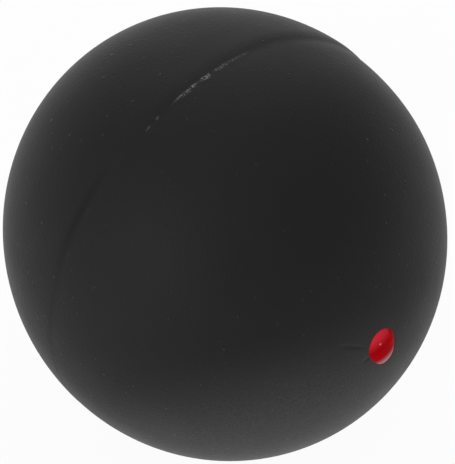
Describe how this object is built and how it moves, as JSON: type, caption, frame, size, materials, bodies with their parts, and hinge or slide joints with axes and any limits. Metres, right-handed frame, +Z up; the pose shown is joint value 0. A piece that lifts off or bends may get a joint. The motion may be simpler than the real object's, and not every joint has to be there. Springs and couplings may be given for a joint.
{
  "type": "squash ball",
  "caption": "Hollow matte black rubber ball with a thick moulded wall, a faint bonded seam round its middle and a small raised dot of red paint near one pole.",
  "frame": {"origin": "centre of the ball", "axes": "+Z up, as the ball lies in the picture; the seam lies in the XZ plane; -Y points out of the pole of the front half, which lies within the red dot"},
  "size_m": [0.04, 0.0403, 0.04],
  "materials": {
    "shell_rubber": "matte, lightly buffed",
    "bond_cement": "matte, scuffed where it shows",
    "dot_paint": "gloss red paint"
  },
  "bodies": {
    "root": {"front_half_shell": "shell_rubber", "rear_half_shell": "shell_rubber", "seam_bond": "bond_cement", "red_dot": "dot_paint"}
  },
  "joints": []
}
